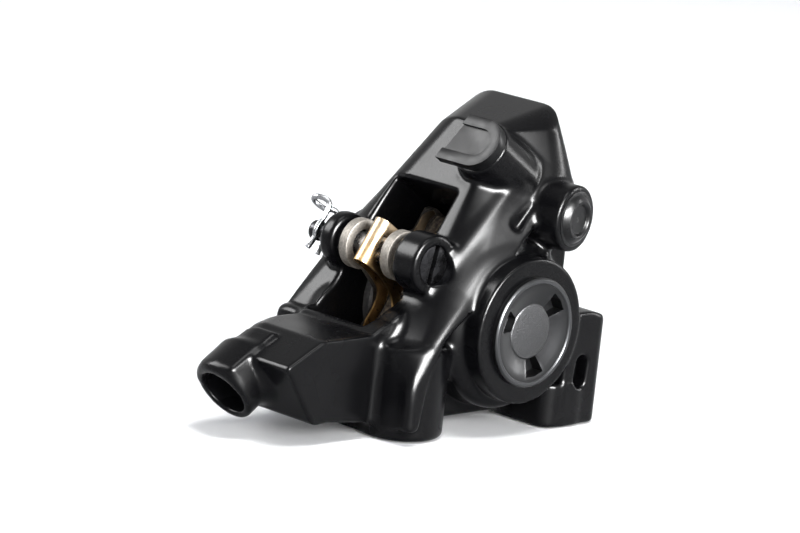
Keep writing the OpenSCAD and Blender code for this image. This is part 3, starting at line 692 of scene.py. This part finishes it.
def drillings(f):
    """Bores, seal grooves, threads and galleries that can be looked into."""
    yield f.rod_y(PISTON_X, PISTON_Z, BORE_R, ROTOR_Y - BORE_END, ROTOR_Y + BORE_END, 0.1)
    yield f.rod_y(PISTON_X, PISTON_Z, CAP_HOLE_R, -BOSS_OUT - 3, ROTOR_Y - 14.2, 0.05)
    near, far = SEAL_GROOVE
    yield f.rod_y(PISTON_X, PISTON_Z, SEAL_GROOVE_R, ROTOR_Y + near, ROTOR_Y + far, 0.1)
    yield f.rod_y(PISTON_X, PISTON_Z, SEAL_GROOVE_R, ROTOR_Y - far, ROTOR_Y - near, 0.1)
    for x in (-HOLE_X, HOLE_X):
        yield f.rod((x, 0, -2), (x, 0, THREAD_DEEP), THREAD_R, 0.1)
    yield f.rod(along(PORT, INTO_PORT, -2), along(PORT, INTO_PORT, 9), PORT_R, 0.1)
    axle_x, axle_z = st(0, AXLE_T)
    yield f.rod_y(axle_x, axle_z, AXLE_BORE_R, -9, AXLE_FACE_IN + 2, 0.05)
    yield f.rod_y(axle_x, axle_z, AXLE_HEAD_BORE_R, -9, 1.45, 0.05)
    above_bleed = along(BLEED, INTO_BLEED, -2)
    yield f.rod(above_bleed, along(BLEED, INTO_BLEED, 2.2), COVER_SEAT_R, 0.05)
    yield f.rod(above_bleed, along(BLEED, INTO_BLEED, 8.2), FITTING_R, 0.05)
    yield nipple_rod(f, NIPPLE_T - 8, NIPPLE_T + 2, FITTING_R, 0.05)
    yield nipple_rod(f, NIPPLE_T - 3.4, NIPPLE_T + 2, NIPPLE_SEAT_R, 0.05)
    plug_x, plug_z = st(NIPPLE_S, NIPPLE_T - 8.5)
    yield f.rod_y(plug_x, plug_z, PLUG_HOLE_R, 15.8, 26, 0.05)


def recesses(f):
    """Slot on the arm beside the bleed boss, and slot window in the rear foot, each with its edge."""
    outside = -12
    (low_x, low_z), (high_x, high_z) = st(13.2, 9.6), st(17.0, 9.0)
    yield f.capsule((low_x, outside, low_z), (high_x, outside, high_z), 1.05, 8.2), 0.35
    yield f.capsule((15.0, outside, 10.0), (14.8, outside, 7.4), 1.35, 6.4), 0.4


def casting(f):
    """The painted body as one distance field."""
    flank = f.slope_beyond((-8, RIDGE_IN + 1.9, RIM_T), 72, 38)
    body = join(upper_casting(f, flank), cheeks_and_web(f, flank), 1.4)
    body = join(body, front_foot(f), 1.4)
    body = join(body, rear_foot(f), 1.2)
    for parts in (housings, bosses):
        for piece, fillet in parts(f):
            body = join(body, piece, fillet)
    body = cut(body, pad_pocket(f), 0.9)
    body = cut(body, f.rod_y(ROTOR_X, ROTOR_Z, ROTOR_R, SLOT_OUT, SLOT_IN, 0.2), 0.4)
    for drilling in drillings(f):
        body = cut(body, drilling, 0.22)
    for recess, edge in recesses(f):
        body = cut(body, recess, edge)
    return body


def mesh_object(name, points, faces, mat):
    """A smooth piece that rides on the housing."""
    mesh = bpy.data.meshes.new(name)
    mesh.from_pydata([tuple(p) for p in points], [], [tuple(face) for face in faces])
    mesh.validate()
    mesh.materials.append(mat)
    mesh.polygons.foreach_set("use_smooth", [True] * len(mesh.polygons))
    piece = bpy.data.objects.new(name, mesh)
    bpy.context.scene.collection.objects.link(piece)
    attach(piece, "housing")
    return piece


def make_casting(mat):
    """The field's zero surface as one mesh, cut off flat at the mounting face."""
    low, high = (-48.6, -10.4, -1.5), (22.2, 29.2, 51.6)
    field = Field(low, high, VOXEL)
    values = casting(field).astype(np.float32)
    values = np.maximum(values, -field.z)
    grid = openvdb.FloatGrid(background=10.0)
    grid.copyFromArray(np.ascontiguousarray(values), ijk=(0, 0, 0))
    points, quads = grid.convertToQuads(0.0)
    points = (np.array(points) * VOXEL + np.array(low)) * MM
    piece = mesh_object("painted_casting", points, quads, mat)
    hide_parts("caliper_body")


# Sprung sheet and wire clip


def smooth_step(u):
    """Ease from 0 to 1, held at both ends."""
    u = min(max(u, 0), 1)
    return u * u * (3 - 2 * u)


def curve_through(points, u):
    """Catmull-Rom curve through points, at u from 0 to 1."""
    last = len(points) - 1
    i = min(int(u * last), last - 1)
    f = u * last - i
    p0, p1 = points[max(i - 1, 0)], points[i]
    p2, p3 = points[i + 1], points[min(i + 2, last)]
    return 0.5 * (2 * p1 + (p2 - p0) * f + (2 * p0 - 5 * p1 + 4 * p2 - p3) * f * f
                  + (3 * p1 - p0 - 3 * p2 + p3) * f ** 3)


def sheet_point(s, y, t):
    """Point of the sprung sheet, with y from the rotor's middle."""
    return slope_point(s, ROTOR_Y + y, t)


def saddle_rows():
    """Rows across the sheet: up one wall, over the axle and down the other wall."""
    columns, wall_steps, arc_steps = 12, 10, 12
    wall = SADDLE_T - WALL_LOW_T
    rows = []
    for i in range(columns + 1):
        s = SHEET_HALF * (2 * i / columns - 1)
        row = [sheet_point(s, -SHEET_MID, WALL_LOW_T + wall * k / wall_steps) for k in range(wall_steps)]
        for k in range(arc_steps + 1):
            angle = math.pi * k / arc_steps
            row.append(sheet_point(s, -SHEET_MID * math.cos(angle), SADDLE_T + SHEET_MID * math.sin(angle)))
        for k in range(1, wall_steps + 1):
            row.append(sheet_point(s, SHEET_MID, SADDLE_T - wall * k / wall_steps))
        rows.append(row)
    return rows


def leaf_rows(side, end):
    """Rows of one leaf, from its wall out to the tip that rests on a plate."""
    steps, width_steps = 24, 8
    top = [np.array(p) for p in (
        (SHEET_HALF, AXLE_T - 0.9), (SHEET_HALF + 0.5, PAD_TOP + 6.2), (SHEET_HALF + 1.6, PAD_TOP + 4),
        (SHEET_HALF + 4, PAD_TOP + 2.5), (SHEET_HALF + 6.4, PAD_TOP + 1.6), (TIP_S, PAD_TOP + 0.3),
    )]
    bottom = [np.array(p) for p in (
        (SHEET_HALF, WALL_LOW_T), (SHEET_HALF + 1.2, PAD_TOP + 1.9), (SHEET_HALF + 2.6, PAD_TOP + 1.2),
        (SHEET_HALF + 4.4, PAD_TOP + 0.6), (SHEET_HALF + 6.4, PAD_TOP), (TIP_S - 0.2, PAD_TOP - 0.5),
    )]
    rows = []
    for i in range(steps + 1):
        high, low = curve_through(top, i / steps), curve_through(bottom, i / steps)
        row = []
        for k in range(width_steps + 1):
            s, t = low + (high - low) * k / width_steps
            flare = smooth_step((s - SHEET_HALF) / (TIP_S - SHEET_HALF - 0.6))
            curl = 0.25 * max(0, (s - TIP_S + 1.4) / 1.4)
            y = SHEET_MID + (TIP_Y - SHEET_THICK / 2 - SHEET_MID) * flare - curl
            row.append(sheet_point(end * s, side * y, t))
        rows.append(row)
    return rows


def patch(points, faces, rows):
    """Rows of points added to a mesh as one sheet of quads."""
    start, width = len(points), len(rows[0])
    for row in rows:
        points.extend(row)
    for i in range(len(rows) - 1):
        for j in range(width - 1):
            a = start + i * width + j
            faces.append((a, a + 1, a + width + 1, a + width))


def pierce_and_weld(piece):
    """The sheet's patches become one, with holes round the axle."""
    bm = bmesh.new()
    bm.from_mesh(piece.data)
    bmesh.ops.remove_doubles(bm, verts=bm.verts, dist=0.02 * MM)
    hole = [v for v in bm.verts if (v.co - slope_point(0, v.co.y / MM, AXLE_T)).length < 2.15 * MM]
    bmesh.ops.delete(bm, geom=hole, context="VERTS")
    bmesh.ops.recalc_face_normals(bm, faces=bm.faces)
    bm.to_mesh(piece.data)
    bm.free()


def make_spring(mat):
    """Saddle over the axle, two walls and four leaves that curve out to the plates."""
    points, faces = [], []
    patch(points, faces, saddle_rows())
    for side in (-1, 1):
        for end in (-1, 1):
            patch(points, faces, leaf_rows(side, end))
    piece = mesh_object("sprung_sheet", points, faces, mat)
    pierce_and_weld(piece)
    solid = piece.modifiers.new("thickness", "SOLIDIFY")
    solid.thickness = SHEET_THICK * MM
    solid.offset = 0
    bevel = piece.modifiers.new("edges", "BEVEL")
    bevel.width = 0.06 * MM
    bevel.segments = 2
    bevel.limit_method = "ANGLE"
    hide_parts("pad_spring")
    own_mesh(piece)


def tube(path, radius):
    """Points and faces of a round tube along a list of points, with flat ends."""
    sides = 14
    points, faces = [], []
    up = Vector((0, 1, 0.01))
    for i, place in enumerate(path):
        ahead = (path[min(i + 1, len(path) - 1)] - path[max(i - 1, 0)]).normalized()
        u = ahead.cross(up).normalized()
        v = ahead.cross(u)
        for k in range(sides):
            angle = 2 * math.pi * k / sides
            points.append(place + radius * (math.cos(angle) * u + math.sin(angle) * v))
    for i in range(len(path) - 1):
        for k in range(sides):
            a, b = i * sides + k, i * sides + (k + 1) % sides
            faces.append((a, b, b + sides, a + sides))
    faces.append(tuple(range(sides - 1, -1, -1)))
    last = (len(path) - 1) * sides
    faces.append(tuple(range(last, last + sides)))
    return points, faces


def make_retainer(mat):
    """Wire clip whose two legs straddle the axle's groove."""
    wire_r, gap, steps = 0.45, 1.65, 199
    turns = [
        (-3.1, 0, -2.2), (-2.3, 0, -1.4), (-gap - 0.1, 0, -0.6), (-gap, 0, 0.4), (-1.2, 0, 1.25),
        (-0.5, 0, 2), (0.1, 0, 2.8), (0.7, 0, 3.9), (0.95, 0.2, 4.6), (0.75, 0.9, 5.1), (0.3, 1.9, 5.3),
        (0.2, 2.7, 5.1), (0.4, 3.1, 4.6), (0.9, 2.9, 4), (1.3, 2.1, 3.5), (1.5, 1.1, 3.3), (1.9, 0.3, 3.4),
        (2.5, 0, 3.1), (2.7, 0, 2.4), (2.2, 0, 1.5), (gap, 0, 0.6), (gap, 0, -0.4), (1.2, 0, -1.4),
        (0.3, 0, -2.2), (-0.4, 0, -2.7), (-0.8, 0, -3.6),
    ]
    x, z = st(0, AXLE_T)
    centre = Vector((x, AXLE_FACE_IN + 3.05, z))
    route = [Vector(p) for p in turns]
    path = [(centre + Vector(curve_through(route, i / steps))) * MM for i in range(steps + 1)]
    points, faces = tube(path, wire_r * MM)
    piece = mesh_object("wire_clip", points, faces, mat)
    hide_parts("snap_retainer")


def dress(node, mat, width):
    """A CAD piece gets its material and, where a width is given, fine bevelled edges."""
    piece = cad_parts[node]
    piece.data.materials.clear()
    piece.data.materials.append(mat)
    piece.data.polygons.foreach_set("use_smooth", [True] * len(piece.data.polygons))
    if width:
        weld = piece.modifiers.new("weld", "WELD")
        weld.merge_threshold = 0.001 * MM
        bevel = piece.modifiers.new("edges", "BEVEL")
        bevel.width = width * MM
        bevel.segments = 3
        bevel.limit_method = "ANGLE"
        bevel.angle_limit = math.radians(35)
        bevel.harden_normals = True


add_camera()
add_world()
add_floor()
# All lamps point at the middle of the caliper
aim = (-0.005, 0.01, 0.02)
add_light("sheen_back_left", (-0.5, 0.62, 0.55), aim, (0.5, 0.5), 36, True)
add_light("top", (-0.05, -0.15, 0.95), aim, (0.35, 0.35), 8)
add_light("right_strip", (0.86, -0.46, 0.3), aim, (0.1, 0.5), 10, True)
add_light("ridge_band", (-0.18, -0.9, 0.37), aim, (0.62, 0.4), 270, True)
add_light("front_strip", (-0.62, -0.7, 0.3), aim, (0.05, 0.5), 3)

paint = paint_look()
steel = steel_look("steel", (0.17, 0.174, 0.18), 0.26)
rubber = rubber_look("rubber", (0.02, 0.02, 0.021), 0.6)
make_casting(paint)
make_spring(spring_look())
make_retainer(steel)
dress("bore_cap", cap_look(), 0.1)
dress("pad_axle", axle_look(), 0.15)
dress("bleed_screw_cover", rubber_look("cover_plastic", (0.003, 0.0031, 0.0036), 0.3, 1.2), 0.15)
dress("bleed_nipple_cap", rubber_look("cap_plastic", (0.003, 0.0031, 0.0036), 0.36, 1.15), 0.25)
plate = plate_look()
lining = lining_look()
phenolic = piston_look()
for place in ("outboard", "inboard"):
    dress("pad_plate_" + place, plate, 0.15)
    dress("pad_friction_" + place, lining, 0.12)
    dress("piston_" + place, phenolic, 0)
    dress("piston_seal_" + place, rubber, 0)
for node in ("bore_cap_seal", "bleed_screw_seal", "bleed_nipple_seal"):
    dress(node, rubber, 0)
for node in ("bleed_screw", "bleed_nipple", "gallery_plug"):
    dress(node, steel, 0)

bpy.context.scene.view_settings.view_transform = "Standard"
